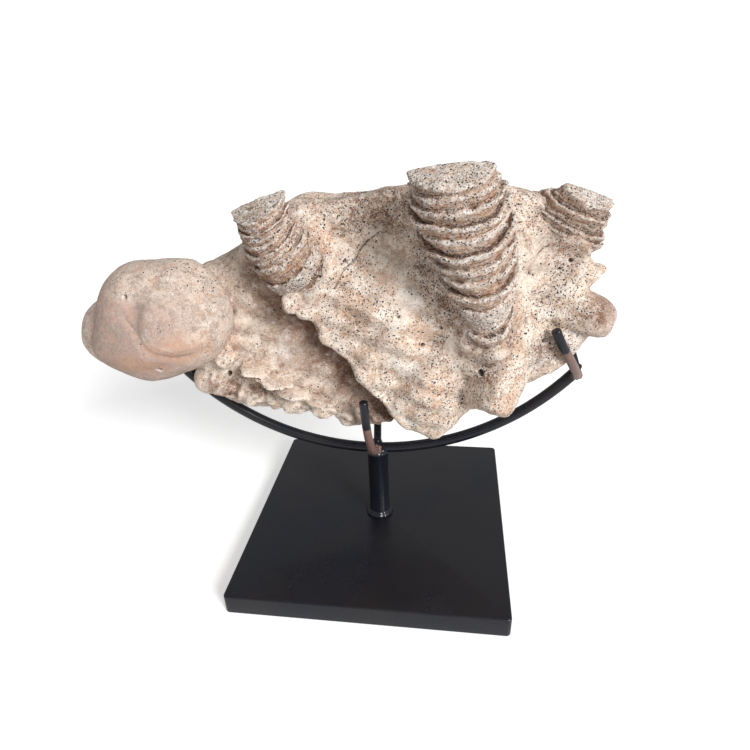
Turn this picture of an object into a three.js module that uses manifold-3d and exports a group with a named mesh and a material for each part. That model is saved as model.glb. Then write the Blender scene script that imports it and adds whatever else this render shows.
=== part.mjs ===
// A giant clam valve, worn and full of pores, held in the arms of a welded steel stand.
// Millimetres, +Z up, +X to the right and -Y towards the viewer. The origin is the centre of the
// base plate's underside.
import * as THREE from "three";
import { mergeVertices } from "three/addons/utils/BufferGeometryUtils.js";
import Module from "manifold-3d";

const wasm = await Module();
wasm.setup();

// Stand
const plateSide = 250;
const plateThick = 20;
const plateCorner = 3;
const plateEdge = 1.6;
const postRadius = 10;
const postTop = 94;
const rodRadius = 5;
const rodLow = 99.5; // height of the cradle rod's centreline over the post
const arcRadius = 232;
const arcHalfAngle = 50.2; // degrees of arc on each side of the post
const arcTilt = 1.6; // degrees, right end up
const armRadius = 3.8;
const fitGap = 0.3; // between pieces that touch

// Shell
const valveCentre = { x: 20, z: 235 };
const valveFront = 27; // face of the smooth lower left part, ahead of the rod's plane
const marginBack = 28; // how far the margin reaches behind the rod's plane
const marginDrop = 0.26; // fall of the upper margin for each millimetre behind the front
const bowlFloor = -3; // the bowl's floor, ahead of the margin by this plus marginBack
const sheetCentre = { x: 48, z: 262 };
const sheetFront = 43; // face of the folded upper sheet
const sheetBack = -13; // the sheet's back stays inside the valve's wall

const { sin, cos, sqrt, abs, min, max, PI, exp } = Math;
const rad = (degrees) => (degrees * PI) / 180;
const clamp = (x) => min(1, max(0, x));
const ease = (from, to, x) => {
  const t = clamp((x - from) / (to - from));
  return t * t * (3 - 2 * t);
};
const mix = (a, b, t) => a + (b - a) * t;

// Solids and meshes
function solidOf(geometry) {
  geometry.deleteAttribute("normal");
  geometry.deleteAttribute("uv");
  const merged = mergeVertices(geometry, 1e-3);
  const points = merged.attributes.position;
  const triangles = new Uint32Array(merged.index.array);
  const [a, b, c] = [new THREE.Vector3(), new THREE.Vector3(), new THREE.Vector3()];
  let volume = 0;
  for (let i = 0; i < triangles.length; i += 3) {
    a.fromBufferAttribute(points, triangles[i]);
    b.fromBufferAttribute(points, triangles[i + 1]);
    c.fromBufferAttribute(points, triangles[i + 2]);
    volume += a.dot(b.cross(c));
  }
  if (volume < 0) {
    for (let i = 0; i < triangles.length; i += 3) {
      [triangles[i + 1], triangles[i + 2]] = [triangles[i + 2], triangles[i + 1]];
    }
  }
  return new wasm.Manifold(
    new wasm.Mesh({ numProp: 3, vertProperties: new Float32Array(points.array), triVerts: triangles }),
  );
}

function geometryOf(solid) {
  const data = solid.getMesh();
  const geometry = new THREE.BufferGeometry();
  geometry.setAttribute("position", new THREE.BufferAttribute(data.vertProperties, 3));
  geometry.setIndex(new THREE.BufferAttribute(data.triVerts, 1));
  return geometry;
}

function meshOf(solid, name, material) {
  const geometry = geometryOf(solid);
  geometry.computeVertexNormals();
  const mesh = new THREE.Mesh(geometry, material);
  mesh.name = name;
  return mesh;
}

const joined = (solids) => solids.reduce((whole, next) => whole.add(next));

// The outer skin alone, without the pockets that joined forms close in between them. Merging close
// vertices first parts a pocket that only a sliver joins to the outside.
const outerSkin = (solid) =>
  solidOf(geometryOf(solid))
    .decompose()
    .reduce((largest, next) => (next.volume() > largest.volume() ? next : largest));

// A closed skin of rings: place(u, v) gives the point at u round the ring and v from pole to pole.
function loft(around, along, place) {
  const geometry = new THREE.SphereGeometry(1, around, along);
  const position = geometry.attributes.position;
  const uv = geometry.attributes.uv;
  for (let i = 0; i < position.count; i += 1) {
    const v = 1 - uv.getY(i);
    const pole = v < 1e-6 || v > 1 - 1e-6;
    const [x, y, z] = place(pole ? 0 : uv.getX(i), v);
    position.setXYZ(i, x, y, z);
  }
  return solidOf(geometry);
}

// Low lumps that run over all of the shell's skin.
const lumps = (x, z) =>
  1.6 * sin(0.12 * x + 1.3) * sin(0.1 * z + 0.4) + 1.1 * sin(0.23 * x - 0.17 * z) + 0.7 * sin(0.31 * z + 0.11 * x + 2);

// Height at (x, z) of swellings given by centre, rise and spread.
const swellings = (list, x, z) =>
  list.reduce(
    (sum, { at, rise, spread }) =>
      sum + rise * exp(-((x - at[0]) ** 2) / (2 * spread[0] ** 2) - (z - at[1]) ** 2 / (2 * spread[1] ** 2)),
    0,
  );

// Rise of a rib with its crest on the line from one point to another, rising along it.
function ribRise({ from, to, rise, spread }, x, z) {
  const dx = to[0] - from[0];
  const dz = to[1] - from[1];
  const length = sqrt(dx * dx + dz * dz);
  const along = ((x - from[0]) * dx + (z - from[1]) * dz) / length;
  const off = ((x - from[0]) * dz - (z - from[1]) * dx) / length;
  const t = clamp(along / length);
  return mix(rise[0], rise[1], t) * exp((-off * off) / (2 * mix(spread[0], spread[1], t) ** 2));
}

function outlineCurve(points) {
  return new THREE.CatmullRomCurve3(
    points.map(([x, z]) => new THREE.Vector3(x, 0, z)),
    true,
    "catmullrom",
    0.5,
  );
}

// A lens with a given outline: front and back give its two faces ahead of and behind the rod's plane.
function lens({ outline, centre, around, along, front, back, roundness }) {
  const curve = outlineCurve(outline);
  const edgePoints = curve.getSpacedPoints(around);
  return loft(around, along, (u, v) => {
    const edge = edgePoints[Math.round(u * around) % around];
    const share = 1 - abs(1 - 2 * v);
    const s = 1 - (1 - share) ** 1.35;
    const x = mix(centre.x, edge.x, s);
    const z = mix(centre.z, edge.z, s);
    const rim = sqrt(max(0, 1 - s ** roundness));
    const yFront = -front(x, z, s);
    const yBack = back(x, z, s);
    const middle = (yFront + yBack) / 2;
    const half = ((yBack - yFront) / 2) * rim;
    const y = v <= 0.5 ? middle - half : middle + half;
    return [x, y, z - marginDrop * max(0, y + 15) * ease(240, 330, z)];
  });
}

const valveOutline = [
  [-108, 305], [-84, 326], [-52, 345], [-18, 344], [18, 349], [60, 350], [100, 348], [136, 341],
  [160, 336], [171, 322], [167, 306], [174, 293], [184, 279], [176, 269], [180, 256], [186, 240],
  [180, 226], [165, 203], [146, 189], [124, 176], [84, 160], [42, 147], [10, 141], [-24, 138],
  [-54, 143], [-84, 149], [-112, 149], [-134, 154], [-152, 170], [-165, 203], [-166, 250], [-150, 281],
  [-131, 291],
];

// The whole valve: a thick bowl that opens to the back, with grooves inside behind its ribs.
function valve() {
  const front = (x, z) =>
    valveFront +
    lumps(x, z) +
    ribRise({ from: [70, 165], to: [190, 245], rise: [10, 4], spread: [12, 20] }, x, z) -
    9 * ease(300, 345, z) +
    5 * ease(-110, -150, x) -
    5 * ease(160, 140, z);
  const back = (x, z, s) => {
    const angle = Math.atan2(z - 190, x - 70);
    const grooves = 4 * cos(5.2 * angle) * ease(0.3, 0.75, s) * ease(200, 290, z);
    const hinge = 6 * exp(-((z - 172) ** 2) / 200 - (x - 70) ** 2 / 3200);
    return mix(bowlFloor, marginBack, ease(0.3, 0.88, s)) - 12 * ease(175, 145, z) + grooves + hinge;
  };
  return lens({ outline: valveOutline, centre: valveCentre, around: 32, along: 16, front, back, roundness: 14 });
}

const sheetOutline = [
  [-90, 316], [-74, 300], [-70, 283], [-60, 268], [-56, 254], [-44, 246], [-39, 229], [-26, 222],
  [-14, 209], [-7, 194], [6, 179], [16, 164], [28, 150], [44, 141], [58, 138], [70, 146],
  [78, 158], [86, 169], [95, 173], [107, 170], [119, 168], [126, 180], [134, 206], [148, 232],
  [160, 268], [170, 300], [166, 322], [150, 336], [112, 347], [70, 352], [30, 349], [-20, 341],
  [-56, 340],
];

// The folded sheet that carries the three horns and hangs over the smooth lower left part.
function sheet() {
  const bumps = [
    { at: [18, 255], rise: 15, spread: [20, 26] }, // orange hump
    { at: [52, 186], rise: 13, spread: [15, 24] }, // left lower lobe
    { at: [106, 192], rise: 12, spread: [13, 20] }, // right lower lobe
    { at: [80, 186], rise: -9, spread: [7, 16] }, // notch between the lobes
    { at: [12, 318], rise: -7, spread: [26, 26] }, // valley left of the middle horn
    { at: [136, 284], rise: -12, spread: [17, 40] }, // valley right of it
    { at: [-44, 282], rise: 9, spread: [16, 18] }, // root of the left horn
  ];
  const front = (x, z) =>
    sheetFront +
    1.3 * lumps(x, z) +
    swellings(bumps, x, z) +
    ribRise({ from: [98, 210], to: [66, 356], rise: [12, 20], spread: [18, 26] }, x, z) +
    ribRise({ from: [-10, 240], to: [-66, 340], rise: [0, 12], spread: [14, 22] }, x, z) -
    8 * ease(120, 165, x);
  return lens({
    outline: sheetOutline,
    centre: sheetCentre,
    around: 38,
    along: 16,
    front,
    back: () => sheetBack,
    roundness: 22,
  });
}

// A horn: nested cups stacked on a curved spine. Each cup flares out to a thin rim, and the next one
// rises from the slot inside it. The rims are given by their heights along the spine, and slot is the
// width of a cup at its root over its width at the rim. The front of each rim sags by droop. A cup
// reaches forward by reach and back by bury.
function horn({ spine, halfWidth, reach, bury, up, rims, slot, gap, around, droop }) {
  const bandLow = 0.62;
  const curve = new THREE.CatmullRomCurve3(spine.map((p) => new THREE.Vector3(...p)));
  const length = curve.getLength();
  const rings = [];
  rims.forEach((height, i) => {
    const below = i ? rims[i - 1] : height - 14;
    const flare = 1 + 0.04 * sin(2.4 * i + 0.7);
    rings.push([below - gap, slot * flare]);
    rings.push([mix(below, height, bandLow), flare]);
    rings.push([height, 0.95 * flare]);
  });
  const place = (height, k, u) => {
    const t = clamp(height / length);
    const centre = curve.getPointAt(t);
    const over = max(0, height - length) + min(0, height);
    const normal = new THREE.Vector3(...up(t)).normalize();
    const side = new THREE.Vector3(1, 0, 0).addScaledVector(normal, -normal.x).normalize();
    const out = new THREE.Vector3().crossVectors(side, normal);
    if (out.y > 0) out.negate();
    const frontShare = 0.78;
    const angle = u < frontShare ? PI * (u / frontShare) : PI + PI * ((u - frontShare) / (1 - frontShare));
    const wobble = 1 + 0.035 * sin(7 * angle + 1.7 * height) + 0.03 * sin(3 * angle + 0.4 * height);
    const across = cos(angle) * halfWidth(t) * k * wobble;
    const ahead = sin(angle) * (angle <= PI ? reach(t) : bury(t)) * k * wobble;
    const facing = max(0, sin(angle));
    const lift = over - droop * facing + 1.6 * facing * sin(5 * angle + height);
    return centre.addScaledVector(side, across).addScaledVector(out, ahead).addScaledVector(normal, lift);
  };
  const last = rims.at(-1);
  return loft(around, rings.length + 1, (u, v) => {
    const row = Math.round(v * (rings.length + 1));
    if (row === 0) return place(rings[0][0] - 3, 0, 0).toArray();
    if (row === rings.length + 1) return place(last + 2, 0, 0).toArray();
    const [height, k] = rings[row - 1];
    return place(height, k, u).toArray();
  });
}

const middleHorn = () =>
  horn({
    spine: [[98, -42, 236], [93, -50, 268], [84, -60, 303], [71, -71, 340], [61, -77, 370]],
    halfWidth: (t) => mix(18, 33, ease(0, 0.75, t)) - 6 * ease(0.85, 1, t),
    reach: (t) => mix(22, 30, ease(0, 0.7, t)) - 6 * ease(0.7, 1, t),
    bury: (t) => mix(26, 4, ease(0.55, 0.95, t)),
    up: (t) => [mix(-0.17, -0.05, ease(0.7, 1, t)), mix(-0.5, -0.12, ease(0.55, 1, t)), 0.86],
    rims: [9, 27, 53, 67, 82, 96, 109, 119, 128, 137],
    slot: 0.82,
    gap: 6,
    around: 16,
    droop: 5,
  });

const leftHorn = () =>
  horn({
    spine: [[-36, -42, 274], [-50, -45, 298], [-64, -48, 318], [-70, -49, 338]],
    halfWidth: (t) => mix(29, 22, ease(0.3, 1, t)),
    reach: (t) => mix(14, 19, t),
    bury: (t) => mix(26, 5, ease(0.5, 0.9, t)),
    up: (t) => [mix(-0.8, -0.36, t), mix(-0.24, 0.02, t), mix(0.66, 0.9, t)],
    rims: [30, 40, 48, 55, 62, 69, 76],
    slot: 0.87,
    gap: 3.6,
    around: 14,
    droop: 4,
  });

const rightHorn = () =>
  horn({
    spine: [[138, -22, 312], [148, -28, 329], [161, -33, 346]],
    halfWidth: (t) => mix(30, 19, ease(0.3, 1, t)),
    reach: (t) => mix(17, 19, t),
    bury: (t) => mix(20, 4, ease(0.4, 0.95, t)),
    up: () => [0.36, -0.08, 0.93],
    rims: [20, 27, 34, 42],
    slot: 0.85,
    gap: 4,
    around: 13,
    droop: 3,
  });

// A lump on three half axes, turned about Y by lean degrees and worked over by shape.
function lump({ at, half, lean = 0, around = 10, along = 6, shape = () => 1 }) {
  const c = cos(rad(lean));
  const s = sin(rad(lean));
  return loft(around, along, (u, v) => {
    const polar = PI * v;
    const turn = 2 * PI * u;
    const a = sin(polar) * cos(turn);
    const b = sin(polar) * sin(turn);
    const h = cos(polar);
    const k = shape(a, b, h);
    const x = a * half[0] * k;
    const z = h * half[2] * k;
    return [at[0] + c * x - s * z, at[1] + b * half[1] * k, at[2] + s * x + c * z];
  });
}

// The smooth rounded end of the lowest rib, with a second lip behind it.
function knob() {
  const face = (a, b, h) =>
    1 +
    0.04 * sin(3.1 * a + 1.2) * cos(2.6 * h) +
    0.02 * sin(6 * a - 4 * h) -
    0.07 * exp(-((a + 0.1) ** 2) * 6 - (h + 0.62) ** 2 * 30) -
    0.16 * ease(0.1, 1, -a) * ease(-0.3, 0.7, h) -
    0.06 * ease(0.3, 1, a) * ease(0, 0.8, -h);
  const body = lump({ at: [-177, -42, 248], half: [70, 43, 52], lean: 16, around: 17, along: 11, shape: face });
  const lip = lump({ at: [-219, -20, 239], half: [41, 28, 37], lean: 22, around: 12, along: 7 });
  return joined([body, lip]);
}

// Scales along the lower edge of the lowest rib: thin plates that stand out towards the viewer, their
// tips down to the left, over a row of round lobes.
function fringe() {
  const plates = [
    { at: [-124, -33, 199], half: [11, 12, 5], lean: 30 },
    { at: [-103, -33, 195], half: [14, 15, 4], lean: 22 },
    { at: [-83, -34, 189], half: [15, 15, 4], lean: 25 },
    { at: [-73, -31, 177], half: [15, 14, 4], lean: 24 },
    { at: [-52, -28, 168], half: [13, 12, 4], lean: 20 },
  ];
  const lobes = [
    { at: [-135, -20, 179], half: [14, 15, 15] },
    { at: [-112, -20, 170], half: [15, 15, 14] },
    { at: [-90, -18, 164], half: [13, 13, 11] },
    { at: [-68, -20, 162], half: [15, 13, 12] },
    { at: [-44, -20, 157], half: [14, 13, 12] },
    { at: [-19, -22, 153], half: [15, 13, 11] },
    { at: [6, -22, 151], half: [14, 12, 9] },
  ];
  return joined([...plates, ...lobes].map((form) => lump({ ...form, around: 7, along: 4 })));
}

// Small solid forms that the photograph shows between the big ones.
function nubs() {
  return joined([
    lump({ at: [-54, -46, 269], half: [9, 12, 11], lean: -20 }), // stub below the left horn
    lump({ at: [102, -50, 231], half: [13, 17, 9], lean: 10 }), // pale end of the middle rib
    lump({ at: [168, -14, 250], half: [33, 20, 18], lean: -18, around: 12, along: 7 }), // right lobe
    lump({ at: [176, -8, 281], half: [11, 9, 5], lean: 10, around: 8, along: 5 }), // spike above it
    lump({ at: [-150, -12, 180], half: [18, 20, 16], lean: 30 }), // under the knob
  ]);
}

// The thick hinge ledge low on the inside, with two teeth.
function hinge() {
  return joined([
    lump({ at: [72, 20, 180], half: [56, 12, 10], lean: 6, around: 12, along: 6 }),
    lump({ at: [92, 30, 184], half: [20, 9, 6], lean: 14, around: 8, along: 5 }),
    lump({ at: [52, 29, 180], half: [12, 8, 6], lean: -10, around: 8, along: 5 }),
  ]);
}

// A round bar along a smooth path of points, with a rounded tip.
function bar(points, radius, sides, steps) {
  const path = new THREE.CatmullRomCurve3(points.map((p) => new THREE.Vector3(...p)));
  const section = new THREE.Shape();
  section.absarc(0, 0, radius, 0, 2 * PI, false);
  const geometry = new THREE.ExtrudeGeometry(section, {
    steps,
    extrudePath: path,
    curveSegments: sides / 2,
    bevelEnabled: false,
  });
  return solidOf(geometry.index ? geometry : mergeVertices(geometry, 1e-4));
}

const ball = (at, radius) => {
  const geometry = new THREE.SphereGeometry(radius, 8, 4);
  geometry.translate(...at);
  return solidOf(geometry);
};

// The cradle rod's centreline, at an angle in degrees from its lowest point.
function onArc(angle) {
  const x = arcRadius * sin(rad(angle));
  const z = arcRadius * (1 - cos(rad(angle)));
  const c = cos(rad(arcTilt));
  const s = sin(rad(arcTilt));
  return [c * x - s * z, 0, rodLow + s * x + c * z];
}

function arcPoints() {
  const steps = 12;
  return Array.from({ length: steps + 1 }, (_, i) => onArc(mix(-arcHalfAngle, arcHalfAngle, i / steps)));
}

const arms = {
  centre_front_arm: [[0, -8, 101], [-1, -24, 112], [-2, -37, 132], [-3, -44, 154], [-4, -46, 176]],
  centre_back_arm: [[-1, 8, 102], [-2, 20, 114], [-3, 28, 132], [-4, 32, 150], [-4, 34, 166]],
  right_front_arm: [[176, -7, 188], [171, -18, 199], [162, -30, 216], [154, -37, 230], [148, -39, 242]],
  right_back_arm: [[177, 7, 190], [174, 18, 200], [169, 27, 214], [164, 32, 230], [160, 33, 244]],
  left_back_arm: [[-174, 7, 181], [-166, 18, 190], [-158, 28, 203], [-152, 32, 218], [-148, 33, 231]],
};

const satinBlack = new THREE.MeshStandardMaterial({ color: 0x101114, roughness: 0.42, metalness: 0.3 });
const armBlack = new THREE.MeshStandardMaterial({ color: 0x1a1512, roughness: 0.5, metalness: 0.4 });
const oldShell = new THREE.MeshStandardMaterial({ color: 0xc9b39c, roughness: 0.9, metalness: 0 });

function basePlate() {
  const inset = plateSide / 2 - plateEdge - plateCorner;
  const outline = new THREE.Shape();
  [[1, 1], [-1, 1], [-1, -1], [1, -1]].forEach(([sx, sy], i) => {
    outline.absarc(sx * inset, sy * inset, plateCorner, (i * PI) / 2, ((i + 1) * PI) / 2, false);
  });
  const geometry = new THREE.ExtrudeGeometry(outline, {
    depth: plateThick - 2 * plateEdge,
    bevelThickness: plateEdge,
    bevelSize: plateEdge,
    bevelSegments: 1,
    curveSegments: 2,
  });
  geometry.translate(0, 0, plateEdge);
  return solidOf(geometry);
}

// The post, with the weld bead at its foot and the saddle of weld that takes the rod.
function post() {
  const foot = plateThick + fitGap;
  const profile = [
    [0, foot], [postRadius + 3.6, foot], [postRadius + 3.2, foot + 2], [postRadius + 1, foot + 4.2],
    [postRadius, foot + 5], [postRadius, postTop], [postRadius + 1.2, postTop + 1.5],
    [postRadius, postTop + 4], [5, postTop + 7], [0, postTop + 7],
  ];
  const geometry = new THREE.LatheGeometry(profile.map(([r, z]) => new THREE.Vector2(r, z)), 16);
  geometry.rotateX(PI / 2);
  return solidOf(geometry);
}

const rodSolid = (radius) =>
  joined([
    bar(arcPoints(), radius, 8, 22),
    ball(onArc(-arcHalfAngle), radius),
    ball(onArc(arcHalfAngle), radius),
  ]);
const cradleRod = rodSolid(rodRadius);
const rodClearance = rodSolid(rodRadius + fitGap);

const armSolid = (points, radius) =>
  joined([bar(points, radius, 8, 5), ball(points.at(-1), radius), ball(points[0], radius * 1.45)]);

const armSolids = Object.entries(arms).map(([name, points]) => [
  name,
  armSolid(points, armRadius).subtract(rodClearance),
]);
const armClearances = Object.values(arms).map((points) => armSolid(points, armRadius + fitGap));

const forms = [valve(), sheet(), middleHorn(), leftHorn(), rightHorn(), knob(), fringe(), nubs(), hinge()];
const shell = outerSkin(joined(forms).subtract(joined([rodClearance, ...armClearances])));

const clam = new THREE.Group();
clam.add(meshOf(shell, "shell", oldShell));
clam.add(meshOf(basePlate(), "base_plate", satinBlack));
clam.add(meshOf(post().subtract(rodClearance).subtract(joined(armClearances)), "post", satinBlack));
clam.add(meshOf(cradleRod, "cradle_rod", satinBlack));
armSolids.forEach(([name, solid]) => clam.add(meshOf(solid, name, armBlack)));

export default clam;
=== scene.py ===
"""A worn giant clam valve held in the arms of a black steel stand, on a pale floor."""

import math

import bmesh
import bpy
import numpy as np
from mathutils import Matrix, Vector, noise
from mathutils.kdtree import KDTree


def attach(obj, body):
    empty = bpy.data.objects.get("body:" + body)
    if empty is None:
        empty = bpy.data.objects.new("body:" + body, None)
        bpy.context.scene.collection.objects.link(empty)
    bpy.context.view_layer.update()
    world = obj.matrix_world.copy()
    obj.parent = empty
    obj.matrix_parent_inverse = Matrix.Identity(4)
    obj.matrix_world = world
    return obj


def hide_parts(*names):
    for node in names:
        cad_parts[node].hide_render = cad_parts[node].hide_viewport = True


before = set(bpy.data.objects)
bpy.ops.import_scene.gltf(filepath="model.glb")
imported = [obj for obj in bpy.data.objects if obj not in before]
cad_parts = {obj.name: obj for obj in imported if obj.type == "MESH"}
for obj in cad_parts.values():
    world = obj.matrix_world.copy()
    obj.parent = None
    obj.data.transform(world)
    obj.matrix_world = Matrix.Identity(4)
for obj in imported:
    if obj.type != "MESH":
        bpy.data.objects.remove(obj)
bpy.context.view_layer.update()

MM = 0.001  # shapes below are written in millimetres and scaled once, when their mesh is made
TAU = 2 * math.pi

# Camera, as the photograph was taken
CAMERA_AT = (0.06671, -0.45367, 0.41559)
CAMERA_AZIMUTH = 8.351
CAMERA_DOWN = 27.284
CAMERA_ROLL = -2.186
FOCAL_SHARE = 563.15 / 750  # focal length over the frame's width
SENSOR = 36.0

# Light
SKY = 0.36
SKY_SEEN = 1.1  # as the camera sees it
KEY = 3.3
KEY_FROM = (0.95, -0.95, 1.0)
KEY_AIM = (0, 0, 0.25)
KEY_ANGLE = 20  # degrees across, for soft edges
FLOOR_LIFT = 0.42

# Stand
PLATE_SIDE = 250
PLATE_THICK = 20
POST_RADIUS = 10
POST_TOP = 94
ROD_RADIUS = 5
ROD_LOW = 99.5
ARC_RADIUS = 232
ARC_HALF_ANGLE = 50.2
ARC_TILT = 1.6
ARM_RADIUS = 3.8

# Shell
VALVE_CENTRE = (20, 235)
VALVE_FRONT = 27
MARGIN_BACK = 28
MARGIN_DROP = 0.26
BOWL_FLOOR = -3
SHEET_CENTRE = (48, 262)
SHEET_FRONT = 43
SHEET_BACK = -13
SPINE_STEPS = 160
TONE_STEPS = 90  # points round each ring that a horn's tones are read from
RING_FRONT = 0.78  # share of a ring's points that lie on its front half
FRONT_SKIN = -4  # what lies before this y is the front of the shell
COARSE = 1.0
BODY_VOXEL = 1.2
MOST_TRIANGLES = 190000

VALVE_OUTLINE = [
    (-108, 305), (-84, 326), (-52, 345), (-18, 344), (18, 349), (60, 350), (100, 348), (136, 341),
    (160, 336), (171, 322), (167, 306), (174, 293), (184, 279), (176, 269), (180, 256), (186, 240),
    (180, 226), (165, 203), (146, 189), (124, 176), (84, 160), (42, 147), (10, 141), (-24, 138),
    (-54, 143), (-84, 149), (-112, 149), (-134, 154), (-152, 170), (-165, 203), (-166, 250),
    (-150, 281), (-131, 291),
]
SHEET_OUTLINE = [
    (-90, 316), (-74, 300), (-70, 283), (-60, 268), (-56, 254), (-44, 246), (-39, 229), (-26, 222),
    (-14, 209), (-7, 194), (6, 179), (16, 164), (28, 150), (44, 141), (58, 138), (70, 146),
    (78, 158), (86, 169), (95, 173), (107, 170), (119, 168), (126, 180), (134, 206), (148, 232),
    (160, 268), (170, 300), (166, 322), (150, 336), (112, 347), (70, 352), (30, 349), (-20, 341),
    (-56, 340),
]


def mix(a, b, t):
    return a + (b - a) * t


def ease(start, end, x):
    t = min(1.0, max(0.0, (x - start) / (end - start)))
    return t * t * (3 - 2 * t)


def spline(points, closed, count):
    """count + 1 points at even steps along a smooth curve through the given ones, and its length."""
    knots = np.array(points, dtype=float)
    total = len(knots)
    samples = []
    for i in range(total if closed else total - 1):
        if closed:
            p0, p1, p2, p3 = (knots[(i + k) % total] for k in (-1, 0, 1, 2))
        else:
            p1, p2 = knots[i], knots[i + 1]
            p0 = knots[i - 1] if i else 2 * p1 - p2
            p3 = knots[i + 2] if i + 2 < total else 2 * p2 - p1
        for t in np.linspace(0, 1, 24, endpoint=False):
            samples.append(
                0.5 * (2 * p1 + (p2 - p0) * t + (2 * p0 - 5 * p1 + 4 * p2 - p3) * t * t
                       + (3 * p1 - p0 - 3 * p2 + p3) * t ** 3)
            )
    samples.append(knots[0] if closed else knots[-1])
    samples = np.array(samples)
    steps = np.concatenate([[0], np.cumsum(np.linalg.norm(np.diff(samples, axis=0), axis=1))])
    places = np.linspace(0, steps[-1], count + 1)
    path = np.stack([np.interp(places, steps, samples[:, k]) for k in range(samples.shape[1])], axis=1)
    return path, steps[-1]


def loft(bm, around, along, place):
    """A closed skin of rings: place(u, v) gives the point at u round the ring, v from pole to pole."""
    made = bmesh.ops.create_grid(bm, x_segments=around, y_segments=along, size=1.0)
    for vert in made["verts"]:
        u, v = (vert.co.x + 1) / 2, (vert.co.y + 1) / 2
        vert.co = place(0.0 if u > 1 - 1e-4 else u, v)
    bmesh.ops.remove_doubles(bm, verts=made["verts"], dist=1e-4)


def lumps(x, z):
    """Broad lumps of the whole front, in millimetres."""
    return (1.6 * math.sin(0.12 * x + 1.3) * math.sin(0.1 * z + 0.4)
            + 1.1 * math.sin(0.23 * x - 0.17 * z) + 0.7 * math.sin(0.31 * z + 0.11 * x + 2))


def swelling(x, z, at, rise, spread):
    """Rise of a round swelling around a point of the front."""
    return rise * math.exp(
        -((x - at[0]) ** 2) / (2 * spread[0] ** 2) - (z - at[1]) ** 2 / (2 * spread[1] ** 2)
    )


def rib_rise(x, z, start, end, rise, spread):
    """Rise of a rib whose crest runs from start to end."""
    dx, dz = end[0] - start[0], end[1] - start[1]
    length = math.hypot(dx, dz)
    along = ((x - start[0]) * dx + (z - start[1]) * dz) / length
    off = ((x - start[0]) * dz - (z - start[1]) * dx) / length
    t = min(1.0, max(0.0, along / length))
    return mix(rise[0], rise[1], t) * math.exp(-off * off / (2 * mix(spread[0], spread[1], t) ** 2))


def lens(bm, outline, centre, around, along, front, back, roundness):
    """A lens with a given outline and a front and a back face."""
    edge_points, _ = spline(outline, True, around)

    def place(u, v):
        edge = edge_points[round(u * around) % around]
        share = 1 - abs(1 - 2 * v)
        s = 1 - (1 - share) ** 1.35
        x, z = mix(centre[0], edge[0], s), mix(centre[1], edge[1], s)
        rim = math.sqrt(max(0.0, 1 - s ** roundness))
        y_front, y_back = -front(x, z), back(x, z, s)
        half = (y_back - y_front) / 2 * rim
        y = (y_front + y_back) / 2 + (-half if v <= 0.5 else half)
        return x, y, z - MARGIN_DROP * max(0, y + 15) * ease(240, 330, z)

    loft(bm, around, along, place)


def valve(bm):
    """The whole valve: a thick bowl open to the back, with grooves inside behind its ribs."""
    def front(x, z):
        return (VALVE_FRONT + lumps(x, z)
                + rib_rise(x, z, (70, 165), (190, 245), (10, 4), (12, 20))
                - 9 * ease(300, 345, z) + 5 * ease(-110, -150, x) - 5 * ease(160, 140, z))

    def back(x, z, s):
        angle = math.atan2(z - 190, x - 70)
        grooves = 4 * math.cos(5.2 * angle) * ease(0.3, 0.75, s) * ease(200, 290, z)
        hinge = 6 * math.exp(-((z - 172) ** 2) / 200 - (x - 70) ** 2 / 3200)
        rise = mix(BOWL_FLOOR, MARGIN_BACK, ease(0.3, 0.88, s))
        return rise - 12 * ease(175, 145, z) + grooves + hinge

    lens(bm, VALVE_OUTLINE, VALVE_CENTRE, 200, 96, front, back, 14)


SHEET_BUMPS = [
    ((18, 255), 15, (20, 26)),  # orange hump
    ((52, 186), 13, (15, 24)),  # left lower lobe
    ((106, 192), 12, (13, 20)),  # right lower lobe
    ((80, 186), -9, (7, 16)),  # notch between the lobes
    ((12, 318), -7, (26, 26)),  # valley left of the middle horn
    ((136, 284), -12, (17, 40)),  # valley right of it
    ((-44, 282), 9, (16, 18)),  # root of the left horn
    ((96, 214), -7, (9, 7)),  # hollow under the end of the middle rib
    ((46, 232), -5, (9, 22)),  # groove between the hump and the left lobe
    ((2, 206), 5, (8, 18)),  # roll along the hanging edge
]


def sheet(bm):
    """The folded sheet that carries the three horns and hangs over the smooth lower left part."""
    def front(x, z):
        rise = sum(swelling(x, z, *bump) for bump in SHEET_BUMPS)
        return (SHEET_FRONT + 1.3 * lumps(x, z) + rise
                + rib_rise(x, z, (98, 210), (66, 356), (12, 20), (18, 26))
                + rib_rise(x, z, (-10, 240), (-66, 340), (0, 12), (14, 22))
                - 8 * ease(120, 165, x))

    lens(bm, SHEET_OUTLINE, SHEET_CENTRE, 240, 130, front, lambda x, z, s: SHEET_BACK, 22)


# One cup of a horn from its root in the slot below up to its rim and over the ledge inside it. Each entry
# is the share of the way from the rim below to this rim, what to add in gap depths, the width, how much
# of a rim it is, and its tone: -1 in the slot, 0 on the wall and 1 on the rim and ledge. A width of 0
# stands for the slot's own width.
CUP = [
    (0.0, -0.5, 0.0, 0.0, -1.0), (0.0, -0.15, 0.02, 0.0, -0.8), (0.08, 0.0, 0.04, 0.0, -0.4),
    (0.25, 0.0, 0.07, 0.1, -0.1), (0.42, 0.0, 0.105, 0.25, 0.0), (0.58, 0.0, 0.145, 0.5, 0.0),
    (0.72, 0.0, 0.175, 0.85, 0.1), (0.84, 0.0, 0.195, 1.0, 0.5), (0.94, 0.0, 0.205, 1.0, 1.0),
    (1.0, 0.0, 0.195, 1.0, 1.0), (1.0, 0.08, 0.165, 1.0, 1.0), (1.0, 0.03, 0.12, 0.9, 1.0),
    (1.0, -0.12, 0.08, 0.6, 0.5), (1.0, -0.35, 0.04, 0.2, -0.4),
]


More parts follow.
